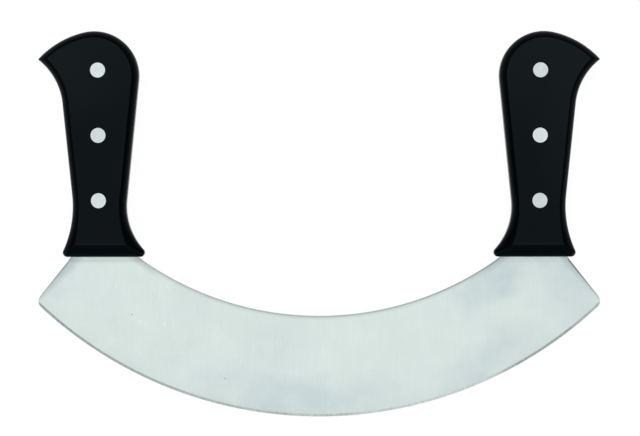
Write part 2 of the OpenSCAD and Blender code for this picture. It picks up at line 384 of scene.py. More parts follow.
def drawn_in(outline):
    """Each point of an outline moved inwards by its own width, square to its two edges"""
    count = len(outline)
    inner = []
    for number, (point, width, _) in enumerate(outline):
        before = (point - outline[number - 1][0]).normalized()
        after = (outline[(number + 1) % count][0] - point).normalized()
        inward = Vector((-(before + after).y, (before + after).x)).normalized()
        lean = max(0.5, inward.dot(Vector((-after.y, after.x))))
        inner.append(point + inward * width / lean)
    return inner


def triangulated(loops, lines=(), dots=(), holes=()):
    """Triangles across the first loop that keep every loop and line as edges. The holes, each a
    centre and a radius, are left open. Returns the points, the triangles and the sources."""
    points, edges = [], []
    for closed, chain in [(True, loop) for loop in loops] + [(False, line) for line in lines]:
        first, size = len(points), len(chain)
        points += chain
        edges += [(first + i, first + (i + 1) % size) for i in range(size if closed else size - 1)]
    points += list(dots)
    millimetres = [point * 1000.0 for point in points]
    across = [list(range(len(loops[0])))]
    places, _, faces, sources, _, _ = delaunay_2d_cdt(millimetres, edges, across, 1, 0.0001)
    places = [points[ids[0]] if ids else place / 1000.0 for place, ids in zip(places, sources)]
    kept = []
    for face in faces:
        middle = sum((places[i] for i in face), Vector((0.0, 0.0))) / 3
        if all((middle - centre).length > radius for centre, radius in holes):
            kept.append(face)
    return places, kept, sources


def rims(faces):
    """The edges that only one triangle has, in its direction"""
    directed = {(face[i], face[(i + 1) % 3]) for face in faces for i in range(3)}
    return [(a, b) for a, b in directed if (b, a) not in directed]


def made_piece(name, points, faces, materials, crisp, kinds=(), pick=None):
    """A closed piece: its doubles are merged, its faces turned outwards, and every edge that
    bends by more than crisp degrees kept sharp. Each face's material is given by its kind or
    picked by its middle and its direction."""
    mesh = bpy.data.meshes.new(name)
    mesh.from_pydata(points, [], faces)
    if kinds:
        mesh.polygons.foreach_set("material_index", kinds)
    shell = bmesh.new()
    shell.from_mesh(mesh)
    bmesh.ops.remove_doubles(shell, verts=shell.verts, dist=0.000001)
    bmesh.ops.recalc_face_normals(shell, faces=shell.faces)
    for face in shell.faces:
        face.smooth = True
        if pick:
            face.material_index = pick(face.calc_center_median(), face.normal)
    shell.to_mesh(mesh)
    shell.free()
    mesh.set_sharp_from_angle(angle=math.radians(crisp))
    for material in materials:
        mesh.materials.append(material)
    piece = bpy.data.objects.new(name, mesh)
    bpy.context.collection.objects.link(piece)
    return piece


def blade_mesh():
    outline = mirrored_whole(blade_outline())
    outer = [point for point, _, _ in outline]
    inner = drawn_in(outline)
    start_r, shoulder_at = spine_r + spine_strip_w, edge_r - bevel_w
    runout_y = foot_y - runout_gap
    margin = 0.0009
    slope = sloped(end_angle)

    def inside(point, top):
        from_tip = Vector((abs(point.x), point.y)) - tip_c
        past_line = from_tip.dot(slope) > tip_r - margin
        past_tip = from_tip.x > 0 and from_tip.y < 0 and from_tip.length > tip_r - margin
        return point.y < top and not past_line and not past_tip

    lines = []
    for radius, top in ((start_r, foot_y), (shoulder_at, foot_y)):
        line = [point for point in arc(arcs_c, radius, 222, 318, 300) if inside(point, top)]
        lines.append(line)
    grind = (half_t - shoulder_t / 2) / (shoulder_at - start_r)
    fade = grind / math.tan(math.radians(runout_angle))
    start_x = math.sqrt(start_r ** 2 - (arcs_c.y - runout_y) ** 2)
    for sign in (-1, 1):
        upper, lower = [], []
        for number in range(1, 60):
            x = start_x + 0.0006 * number
            y = runout_y
            for _ in range(4):
                y = runout_y - fade * ((Vector((x, y)) - arcs_c).length - start_r)
            if inside(Vector((x, y)), foot_y):
                lower.append(Vector((sign * x, y)))
            if inside(Vector((x, runout_y)), foot_y):
                upper.append(Vector((sign * x, runout_y)))
        lines += [upper, lower]
    dots = []
    rows = 7
    for row in range(1, rows):
        radius = start_r + (shoulder_at - start_r) * row / rows
        dots += [p for p in arc(arcs_c, radius, 222, 318, 130) if inside(p, runout_y - 0.004)]
    holes = [(place, shank_hole_r) for side in ("left", "right") for place in rivet_places(side)]
    rings = [arc(place, radius, 0, 360, 32)[:-1] for place, radius in holes]
    places, faces, sources = triangulated([outer, inner] + rings, lines, dots, holes)
    slope_t = math.tan(math.radians(break_angle))
    heights, rim_cut = [], []
    for place, ids in zip(places, sources):
        height = half_thickness(place)
        rim = [i for i in ids if i < len(outer)]
        if rim:
            _, width, left = outline[rim[0]]
            rim_cut.append(height - left > 0.9 * width * slope_t)
            height = min(height, left)
        else:
            rim_cut.append(None)
        heights.append(max(edge_t / 2, height))

    def finish(face):
        """Which of the three finishes: 2 for a broken corner, 1 for the bevel, 0 for the satin"""
        cut = [rim_cut[i] for i in face if rim_cut[i] is not None]
        if cut and all(cut):
            return 2
        middle = sum((places[i] for i in face), Vector((0.0, 0.0))) / 3
        return 1 if (middle - arcs_c).length > edge_r - bevel_w else 0

    kinds = [finish(face) for face in faces]
    count = len(places)
    points = [(p.x, p.y, mid_z + h) for p, h in zip(places, heights)]
    points += [(p.x, p.y, mid_z - h) for p, h in zip(places, heights)]
    walls = [(a, a + count, b + count, b) for a, b in rims(faces)]
    lower_faces = [tuple(i + count for i in reversed(face)) for face in faces]
    kinds += kinds + [2] * len(walls)
    return points, [tuple(face) for face in faces] + lower_faces + walls, kinds


def new_material(name, metallic):
    material = bpy.data.materials.new(name)
    material.use_nodes = True
    shader = material.node_tree.nodes["Principled BSDF"]
    shader.inputs["Metallic"].default_value = metallic
    return material, material.node_tree.nodes, material.node_tree.links, shader


def noise(nodes, links, place, scale, detail=3.0, stretch=(1.0, 1.0, 1.0), shift=0.0, spin=0.0):
    mapping = nodes.new("ShaderNodeMapping")
    mapping.inputs["Location"].default_value = (shift, 0.7 * shift, 0.3 * shift)
    mapping.inputs["Rotation"].default_value = (0.0, 0.0, math.radians(spin))
    mapping.inputs["Scale"].default_value = stretch
    grain = nodes.new("ShaderNodeTexNoise")
    grain.inputs["Scale"].default_value = scale
    grain.inputs["Detail"].default_value = detail
    links.new(place, mapping.inputs["Vector"])
    links.new(mapping.outputs["Vector"], grain.inputs["Vector"])
    return grain.outputs["Fac"]


def ranged(nodes, links, value, low, high, out_low, out_high):
    span = nodes.new("ShaderNodeMapRange")
    span.inputs["From Min"].default_value = low
    span.inputs["From Max"].default_value = high
    span.inputs["To Min"].default_value = out_low
    span.inputs["To Max"].default_value = out_high
    links.new(value, span.inputs["Value"])
    return span.outputs["Result"]


def blended(nodes, links, amount, first, second, mode="MIX"):
    """Mixes two colours. Each is either a fixed colour or another node's output."""
    mix = nodes.new("ShaderNodeMix")
    mix.data_type = "RGBA"
    mix.blend_type = mode
    if isinstance(amount, float):
        mix.inputs["Factor"].default_value = amount
    else:
        links.new(amount, mix.inputs["Factor"])
    for number, colour in ((6, first), (7, second)):
        if isinstance(colour, tuple):
            mix.inputs[number].default_value = (*colour, 1.0)
        else:
            links.new(colour, mix.inputs[number])
    return mix.outputs[2]


def computed(nodes, links, operation, first, second=None):
    node = nodes.new("ShaderNodeMath")
    node.operation = operation
    for number, value in enumerate((first, second)):
        if isinstance(value, float):
            node.inputs[number].default_value = value
        elif value is not None:
            links.new(value, node.inputs[number])
    return node.outputs["Value"]


def bumped(nodes, links, height, distance, strength, before=None):
    node = nodes.new("ShaderNodeBump")
    node.inputs["Distance"].default_value = distance
    node.inputs["Strength"].default_value = strength
    links.new(height, node.inputs["Height"])
    if before is not None:
        links.new(before, node.inputs["Normal"])
    return node.outputs["Normal"]


def scaled_colour(nodes, links, colour, level):
    grey = nodes.new("ShaderNodeCombineColor")
    for channel in ("Red", "Green", "Blue"):
        links.new(level, grey.inputs[channel])
    return blended(nodes, links, 1.0, colour, grey.outputs["Color"], "MULTIPLY")


def multiplied(nodes, links, *factors):
    product = factors[0]
    for factor in factors[1:]:
        product = computed(nodes, links, "MULTIPLY", product, factor)
    return product


def blot(nodes, links, place, middle, reach, spin):
    """1 in the middle of a soft oval mark and 0 outside its reach"""
    mapping = nodes.new("ShaderNodeMapping")
    mapping.vector_type = "TEXTURE"
    mapping.inputs["Location"].default_value = (*middle, 0.0)
    mapping.inputs["Rotation"].default_value = (0.0, 0.0, math.radians(spin))
    mapping.inputs["Scale"].default_value = (*reach, 1.0)
    flat = nodes.new("ShaderNodeVectorMath")
    flat.operation = "LENGTH"
    links.new(place, mapping.inputs["Vector"])
    links.new(mapping.outputs["Vector"], flat.inputs[0])
    return ranged(nodes, links, flat.outputs["Value"], 0.25, 1.0, 1.0, 0.0)


# Where the satin is painted duller and bluer, painted shade and dimmer reflections under the handles and
# across the lower middle of the blade: the middle of a mark, its reach each way, its turn and its strength
painted_shade_marks = (
    ((-0.005, -0.094), (0.075, 0.017), 2.0, 0.7),
    ((-0.050, -0.086), (0.026, 0.015), -12.0, 0.45),
    ((-0.024, -0.065), (0.018, 0.014), 0.0, 0.2),
    ((0.093, -0.072), (0.048, 0.013), 30.0, 0.65),
    ((0.102, -0.025), (0.024, 0.014), 20.0, 1.0),
    ((0.086, -0.034), (0.024, 0.014), 20.0, 0.6),
    ((0.106, -0.019), (0.032, 0.009), 0.0, 0.85),
    ((0.118, -0.022), (0.026, 0.016), 0.0, 0.5),
    ((0.130, -0.021), (0.020, 0.014), 0.0, 1.0),
    ((0.135, -0.036), (0.026, 0.024), 0.0, 0.6),
    ((-0.144, -0.026), (0.013, 0.016), 35.0, 0.65),
)


def painted_shade_amount(nodes, links, place):
    """How much of the painted shade, a dull bluish tone, is on the steel, from 0 to 1"""
    warp = nodes.new("ShaderNodeTexNoise")
    warp.inputs["Scale"].default_value = 60.0
    warp.inputs["Detail"].default_value = 4.0
    links.new(place, warp.inputs["Vector"])
    offset = nodes.new("ShaderNodeVectorMath")
    offset.operation = "MULTIPLY_ADD"
    offset.inputs[1].default_value = (0.03, 0.03, 0.0)
    links.new(warp.outputs["Color"], offset.inputs[0])
    links.new(place, offset.inputs[2])
    moved = nodes.new("ShaderNodeVectorMath")
    moved.operation = "MULTIPLY_ADD"
    moved.inputs[1].default_value = (1.0, 1.0, 0.0)
    moved.inputs[2].default_value = (-0.015, -0.015, 0.0)
    links.new(offset.outputs["Vector"], moved.inputs[0])
    total = None
    for middle, reach, spin, strength in painted_shade_marks:
        mark = blot(nodes, links, moved.outputs["Vector"], middle, reach, spin)
        mark = computed(nodes, links, "MULTIPLY", mark, strength)
        total = mark if total is None else computed(nodes, links, "MAXIMUM", total, mark)
    patches = noise(nodes, links, place, 75.0, 3.0, shift=7.0)
    return multiplied(nodes, links, total, ranged(nodes, links, patches, 0.3, 0.6, 0.5, 1.0))


def blade_steel():
    material, nodes, links, shader = new_material("satin_blade_steel", 1.0)
    place = nodes.new("ShaderNodeTexCoord").outputs["Object"]
    split = nodes.new("ShaderNodeSeparateXYZ")
    links.new(place, split.inputs["Vector"])
    along, up = split.outputs["X"], split.outputs["Y"]
    clouds = noise(nodes, links, place, 45.0, 3.0)
    mottle = noise(nodes, links, place, 150.0, 3.0, (1.0, 0.6, 1.0), shift=4.0)
    hue = noise(nodes, links, place, 30.0, 2.0, shift=3.0)
    brushing = noise(nodes, links, place, 900.0, 4.0, (1.0, 0.05, 1.0))
    streaks = noise(nodes, links, place, 1500.0, 1.0, (1.0, 0.17, 1.0), shift=1.0)
    clusters = noise(nodes, links, place, 90.0, 2.0, shift=2.0)
    scuffs = noise(nodes, links, place, 1300.0, 1.0, (0.2, 1.0, 1.0), shift=8.0, spin=12.0)
    scratches = noise(nodes, links, place, 4500.0, 3.0, (1.0, 0.02, 1.0))
    green = (0.704, 0.797, 0.760)
    blue = (0.699, 0.789, 0.772)
    painted_shade_blue = (0.572, 0.662, 0.684)
    end_shade_blue = (0.447, 0.528, 0.540)
    tone = blended(nodes, links, ranged(nodes, links, hue, 0.35, 0.65, 0.0, 1.0), green, blue)
    # Painted shade: the steel is duller and bluer in the marked patches
    tone = blended(nodes, links, painted_shade_amount(nodes, links, place), tone, painted_shade_blue)
    shade = ranged(nodes, links, clouds, 0.3, 0.7, 0.975, 1.02)
    mottled = ranged(nodes, links, mottle, 0.3, 0.7, 0.985, 1.012)
    fine = ranged(nodes, links, brushing, 0.3, 0.7, 0.985, 1.015)
    left_part = ranged(nodes, links, along, -0.02, 0.07, 1.0, 0.25)
    # Bright streaks, stronger towards the left: scratches in the satin, painted brighter as a painted
    # highlight. The dark scuffs are marks on the steel.
    bright = multiplied(nodes, links, ranged(nodes, links, streaks, 0.62, 0.70, 0.0, 0.07),
                        ranged(nodes, links, clusters, 0.42, 0.58, 0.0, 1.0), left_part)
    dark = multiplied(nodes, links, ranged(nodes, links, scuffs, 0.74, 0.82, 0.0, 0.1),
                      ranged(nodes, links, clusters, 0.5, 0.65, 1.0, 0.0))
    glint = computed(nodes, links, "SUBTRACT", computed(nodes, links, "ADD", bright, 1.0), dark)
    cells = nodes.new("ShaderNodeTexVoronoi")
    cells.voronoi_dimensions = "2D"
    cells.inputs["Scale"].default_value = 60.0
    links.new(place, cells.inputs["Vector"])
    lot = nodes.new("ShaderNodeSeparateColor")
    links.new(cells.outputs["Color"], lot.inputs["Color"])
    pitted = multiplied(nodes, links, ranged(nodes, links, cells.outputs["Distance"], 0.012, 0.024, 1.0, 0.0),
                        ranged(nodes, links, lot.outputs["Red"], 0.95, 0.96, 0.0, 0.6))
    pits = computed(nodes, links, "SUBTRACT", 1.0, pitted)
    # The satin belt doesn't reach quite to the edges of the sheet, nor up to the handles. The darkening
    # there is painted shade: darker and bluer towards the sloping ends, darker along the spine and next to
    # the handles, a little darker towards the bevel, and a painted contact shadow just below the handles'
    # feet.
    slope = sloped(end_angle)
    aside = computed(nodes, links, "ABSOLUTE", along)
    outwards = computed(nodes, links, "ADD", computed(nodes, links, "MULTIPLY", aside, slope.x),
                        computed(nodes, links, "MULTIPLY", up, slope.y))
    end_at = tip_c.dot(slope) + tip_r
    from_end = computed(nodes, links, "SUBTRACT", end_at - 0.0004, outwards)
    fade = multiplied(nodes, links, ranged(nodes, links, up, tip_c.y, foot_y - 0.006, 0.0016, 0.0062),
                      ranged(nodes, links, along, -0.05, 0.05, 1.0, 0.6))
    near_end = ranged(nodes, links, computed(nodes, links, "DIVIDE", from_end, fade), 0.0, 1.0, 1.0, 0.0)
    end_depth = ranged(nodes, links, up, tip_c.y, foot_y - 0.006, 0.5, 1.0)
    ends = multiplied(nodes, links, near_end, end_depth)
    # Painted shade: darker and bluer towards the sloping ends
    tone = blended(nodes, links, ends, tone, end_shade_blue)
    from_middle = nodes.new("ShaderNodeVectorMath")
    from_middle.operation = "SUBTRACT"
    from_middle.inputs[1].default_value = (arcs_c.x, arcs_c.y, 0.0)
    links.new(place, from_middle.inputs[0])
    flat = nodes.new("ShaderNodeVectorMath")
    flat.operation = "MULTIPLY"
    flat.inputs[1].default_value = (1.0, 1.0, 0.0)
    links.new(from_middle.outputs["Vector"], flat.inputs[0])
    radius = nodes.new("ShaderNodeVectorMath")
    radius.operation = "LENGTH"
    links.new(flat.outputs["Vector"], radius.inputs[0])
    out = radius.outputs["Value"]
    # Painted shade: darker along the spine, and more so next to the handles
    spine = ranged(nodes, links, out, spine_r + 0.0006, spine_r + 0.0024, 0.84, 1.0)
    handle_side_shade = multiplied(nodes, links, ranged(nodes, links, out, spine_r + 0.0024, spine_r + 0.0042, 1.0, 0.0),
                        ranged(nodes, links, aside, 0.084, 0.091, 0.0, 0.14))
    handles = computed(nodes, links, "SUBTRACT", 1.0, handle_side_shade)
    # Painted shade: a little darker towards the bevel
    bevel_side = ranged(nodes, links, out, edge_r - bevel_w - 0.006, edge_r - bevel_w, 1.0, 0.965)
    # Painted contact shadow just below the handles' feet
    painted_foot_shadow = multiplied(nodes, links, ranged(nodes, links, up, foot_y - 0.0036, foot_y - 0.0018, 0.0, 0.16),
                        ranged(nodes, links, up, foot_y - 0.0018, foot_y - 0.0009, 1.0, 0.4),
                        ranged(nodes, links, along, 0.0, 0.09, 1.0, 0.35))
    feet = computed(nodes, links, "SUBTRACT", 1.0, painted_foot_shadow)
    level = multiplied(nodes, links, shade, mottled, fine, glint, pits, spine, handles, bevel_side, feet)
    links.new(scaled_colour(nodes, links, tone, level), shader.inputs["Base Color"])
    links.new(ranged(nodes, links, brushing, 0.3, 0.7, 0.3, 0.37), shader.inputs["Roughness"])
    links.new(bumped(nodes, links, scratches, 0.000004, 0.5), shader.inputs["Normal"])
    return material


# Painted shade and painted reflection along the blade: how bright the honed bevel and the sheet's edges
# are painted, from its left tip to its right one, for the changing light on the curved edges: pairs of
# a place and the brightness there
bevel_levels = ((-0.145, 0.53), (-0.085, 0.645), (-0.03, 0.725), (0.012, 0.745), (0.03, 0.84),
                (0.05, 0.90), (0.093, 0.88), (0.104, 0.56), (0.126, 0.53), (0.145, 0.64))
stamped_levels = ((-0.150, 0.78), (-0.146, 0.68), (-0.141, 0.76), (-0.134, 0.80), (-0.126, 1.0),
                  (0.045, 1.0), (0.062, 0.90), (0.084, 0.88), (0.091, 0.72), (0.132, 0.56),
                  (0.135, 0.42), (0.140, 0.47), (0.144, 0.54), (0.149, 0.58))


def level_along(nodes, links, place, levels):
    split = nodes.new("ShaderNodeSeparateXYZ")
    links.new(place, split.inputs["Vector"])
    start, end = levels[0][0], levels[-1][0]
    ramp = nodes.new("ShaderNodeValToRGB")
    links.new(ranged(nodes, links, split.outputs["X"], start, end, 0.0, 1.0), ramp.inputs["Fac"])
    stops = ramp.color_ramp.elements
    stops.remove(stops[1])
    for number, (x, level) in enumerate(levels):
        position = (x - start) / (end - start)
        stop = stops[0] if number == 0 else stops.new(position)
        stop.position = position
        stop.color = (level, level, level, 1.0)
    return ramp.outputs["Color"]


def honed_steel():
    material, nodes, links, shader = new_material("honed_edge_steel", 1.0)
    place = nodes.new("ShaderNodeTexCoord").outputs["Object"]
    along = level_along(nodes, links, place, bevel_levels)
    hatching = noise(nodes, links, place, 2600.0, 3.0, (1.0, 0.1, 1.0), spin=6.0)
    wavy = noise(nodes, links, place, 160.0, 3.0, shift=5.0)
    marks = noise(nodes, links, place, 900.0, 2.0, (1.0, 0.5, 1.0), shift=9.0)
    level = multiplied(nodes, links, along, ranged(nodes, links, wavy, 0.3, 0.7, 0.93, 1.05),
                       ranged(nodes, links, marks, 0.35, 0.65, 0.84, 1.04))
    links.new(scaled_colour(nodes, links, (0.704, 0.797, 0.765), level), shader.inputs["Base Color"])
    links.new(ranged(nodes, links, hatching, 0.3, 0.7, 0.22, 0.34), shader.inputs["Roughness"])
    links.new(bumped(nodes, links, hatching, 0.000005, 0.4), shader.inputs["Normal"])
    return material


def stamped_steel():
    """The edges of the sheet and their broken corners, which keep a duller, coarser finish, and are also
    painted darker than the satin and along the blade as painted shade
    """
    material, nodes, links, shader = new_material("stamped_edge_steel", 1.0)
    place = nodes.new("ShaderNodeTexCoord").outputs["Object"]
    rough = noise(nodes, links, place, 900.0, 3.0)
    amount = ranged(nodes, links, rough, 0.3, 0.7, 0.0, 1.0)
    tone = blended(nodes, links, amount, (0.475, 0.54, 0.52), (0.62, 0.705, 0.685))
    level = level_along(nodes, links, place, stamped_levels)
    links.new(scaled_colour(nodes, links, tone, level), shader.inputs["Base Color"])
    links.new(ranged(nodes, links, rough, 0.3, 0.7, 0.34, 0.46), shader.inputs["Roughness"])
    links.new(bumped(nodes, links, rough, 0.00001, 0.4), shader.inputs["Normal"])
    return material


finishes = [blade_steel(), honed_steel(), stamped_steel()]
points, faces, kinds = blade_mesh()
blade = made_piece("crescent_blade", points, faces, finishes, 10.0, kinds)
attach(blade, "root")
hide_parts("blade")


# The four handle scales: black plastic, moulded, one laid on each face of each tang. Their faces
# are flat and satin, a crisp crease runs round each face, and outside it the edge is rounded
# down to a low upright wall that stands on the tang.
scale_t = scale_high.z - blade_high.z
round_w = 0.0036
foot_round_w = 0.0068
wall_h = 0.0014
joint_break = 0.0001
crease_soft = 0.00012
head_t = 0.002
head_clear = 0.00003
rim_break = 0.00005


def scale_section():
    """Section of a scale from the tang to its face, as pairs of inset and height"""
    turn = 2 * math.atan(round_w / (scale_t - wall_h))
    round_r = round_w / (1 - math.cos(turn))
    crease = Vector((round_w, scale_t))
    below = crease - crease_soft * Vector((math.sin(turn), math.cos(turn)))
    above = crease + Vector((crease_soft, 0.0))
    steps = 16
    last_turn = turn - crease_soft / round_r
    section = [Vector((joint_break, 0.0)), Vector((0.0, joint_break))]
    for number in range(steps):
        angle = last_turn * number / steps
        section.append(Vector((round_r * (1 - math.cos(angle)), wall_h + round_r * math.sin(angle))))
    for number in range(5):
        t = number / 4
        section.append(below * (1 - t) ** 2 + crease * 2 * t * (1 - t) + above * t ** 2)
    return section


def ring_walls(start, size, rings):
    return [(start + row * size + i, start + row * size + (i + 1) % size,
             start + (row + 1) * size + (i + 1) % size, start + (row + 1) * size + i)
            for row in range(rings - 1) for i in range(size)]


def scale_mesh(side, face):
    across = 1 if side == "right" else -1
    up = 1 if face == "front" else -1
    tang_face = mid_z + up * half_t
    section = scale_section()
    rivets = [Vector((across * place.x, place.y)) for place in rivet_places(side)]
    corner = Vector((handle_x, foot_y))
    share = foot_round_w / round_w
    rings = [[point + corner for point in handle_outline(step.x, step.x * share)] for step in section]
    head_r = (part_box("right_top_rivet_post")[1][0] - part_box("right_top_rivet_post")[0][0]) / 2
    bore = ((head_r + head_clear + rim_break, scale_t), (head_r + head_clear, scale_t - rim_break),
            (head_r + head_clear, scale_t - head_t), (shank_hole_r, scale_t - head_t), (shank_hole_r, 0.0))
    flat, faces = [], []
    for ring, step in zip(rings, section):
        flat += [(point, step.y) for point in ring]
    faces += ring_walls(0, len(rings[0]), len(rings))
    for rivet in rivets:
        faces += ring_walls(len(flat), 56, len(bore))
        for radius, height in bore:
            flat += [(point, height) for point in arc(rivet, radius, 0, 360, 56)[:-1]]
    for ring, radius, height in ((rings[-1], bore[0][0], scale_t), (rings[0], bore[-1][0], 0.0)):
        holes = [(rivet, radius) for rivet in rivets]
        loops = [ring] + [arc(rivet, radius, 0, 360, 56)[:-1] for rivet in rivets]
        places, triangles, _ = triangulated(loops, holes=holes)
        faces += [tuple(i + len(flat) for i in triangle) for triangle in triangles]
        flat += [(place, height) for place in places]
    return [(across * p.x, p.y, tang_face + up * height) for p, height in flat], faces


def black_plastic(name, dark, pale, specular, gloss):
    material, nodes, links, shader = new_material(name, 0.0)
    place = nodes.new("ShaderNodeTexCoord").outputs["Object"]
    split = nodes.new("ShaderNodeSeparateXYZ")
    links.new(place, split.inputs["Vector"])
    clouds = noise(nodes, links, place, 35.0, 3.0)
    worn = noise(nodes, links, place, 14.0, 1.0, shift=3.0)
    grain = noise(nodes, links, place, 2600.0, 2.0)
    rubbed = noise(nodes, links, place, 240.0, 3.0, (1.0, 0.25, 1.0), shift=2.0)
    # The grips are painted a shade greyer towards their crowns, painted light that leaves them lighter at the
    # top than at the foot
    up = ranged(nodes, links, split.outputs["Y"], foot_y, foot_y + handle_h, -0.45, 0.5)
    amount = computed(nodes, links, "ADD", up, ranged(nodes, links, worn, 0.35, 0.65, 0.0, 0.8))
    links.new(blended(nodes, links, amount, dark, pale), shader.inputs["Base Color"])
    shader.inputs["Specular IOR Level"].default_value = specular
    shader.inputs["Specular Tint"].default_value = (0.63, 0.85, 1.0, 1.0)
    roughness = computed(nodes, links, "ADD", ranged(nodes, links, rubbed, 0.3, 0.7, -0.03, 0.03),
                         ranged(nodes, links, clouds, 0.3, 0.7, gloss - 0.02, gloss + 0.02))
    links.new(roughness, shader.inputs["Roughness"])
    links.new(bumped(nodes, links, grain, 0.000006, 0.4), shader.inputs["Normal"])
    return material


def scale_finish(middle, normal):
    """Flat faces are satin. The rounded edges get a darker, barely reflecting copy of the plastic, painted
    shade. The bevel of the foot gets a lighter copy, painted light, and its ridges, towards the face and at
    its two mitres, a lighter one still, a painted highlight."""
    if abs(normal.z) > 0.999:
        return 0
    footwards = math.degrees(math.asin(-normal.y / math.hypot(normal.x, normal.y)))
    if footwards < mitre_from or middle.y > foot_y + foot_round_w + crease_soft:
        return 1
    by_face = abs(middle.z - mid_z) > half_t + scale_t - 0.0001
    return 3 if by_face or footwards < mitre_to else 2


# A finish's darkest and palest colour, its specular level and its roughness
plastic_looks = (
    ("satin_face_plastic", (0.0003, 0.0004, 0.0005), (0.0030, 0.0038, 0.0041), 0.112, 0.27),
    # Painted shade: the edges' copy of the plastic reflects far less than the face's
    ("shaded_edge_plastic", (0.0002, 0.0012, 0.0019), (0.0008, 0.0019, 0.0026), 0.02, 0.21),
    # Painted light on the foot's bevel
    ("lit_foot_plastic", (0.0012, 0.0026, 0.0034), (0.0016, 0.0032, 0.0040), 0.02, 0.21),
    # Painted highlight along the crease and mitre ridges
    ("painted_highlight_ridge_plastic", (0.0055, 0.0080, 0.0090), (0.0075, 0.0100, 0.0110), 0.112, 0.27),
)
plastics = [black_plastic(*look) for look in plastic_looks]
for side in ("left", "right"):
    for face in ("front", "back"):
        scale = made_piece(f"{side}_{face}_handle", *scale_mesh(side, face), plastics, 35.0,
                           pick=scale_finish)
        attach(scale, "root")
        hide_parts(f"{side}_{face}_scale")


# The six cutler's rivets: stainless steel, each a solid post half pressed from the front into a
# hollow half from the back. Their heads are ground flush with the scales and brushed.
rivet_steps = 56
shank_r = 0.0025
post_r = 0.0017
shank_gap = 0.001
rim_r = 0.00009


def rivet_steel():
    material, nodes, links, shader = new_material("brushed_rivet_steel", 1.0)
    place = nodes.new("ShaderNodeTexCoord").outputs["Object"]
    own = nodes.new("ShaderNodeAttribute")
    own.attribute_name = "rivet_shade"
    ring = nodes.new("ShaderNodeAttribute")
    ring.attribute_name = "from_axis"
    brushing = noise(nodes, links, place, 1100.0, 3.0, (1.0, 0.08, 1.0))
    scratches = noise(nodes, links, place, 5000.0, 3.0, (1.0, 0.03, 1.0))
    blotches = noise(nodes, links, place, 420.0, 2.0, shift=6.0)
    shade = ranged(nodes, links, own.outputs["Fac"], 0.0, 1.0, 0.87, 1.03)
    rim = ranged(nodes, links, ring.outputs["Fac"], 0.82, 0.96, 1.0, 1.05)
    fine = ranged(nodes, links, brushing, 0.3, 0.7, 0.96, 1.03)
    worn = ranged(nodes, links, blotches, 0.3, 0.7, 0.94, 1.02)
    level = multiplied(nodes, links, shade, rim, fine, worn)
    links.new(scaled_colour(nodes, links, (0.705, 0.775, 0.765), level), shader.inputs["Base Color"])
    links.new(ranged(nodes, links, brushing, 0.3, 0.7, 0.24, 0.34), shader.inputs["Roughness"])
    links.new(bumped(nodes, links, scratches, 0.000004, 0.5), shader.inputs["Normal"])
    return material


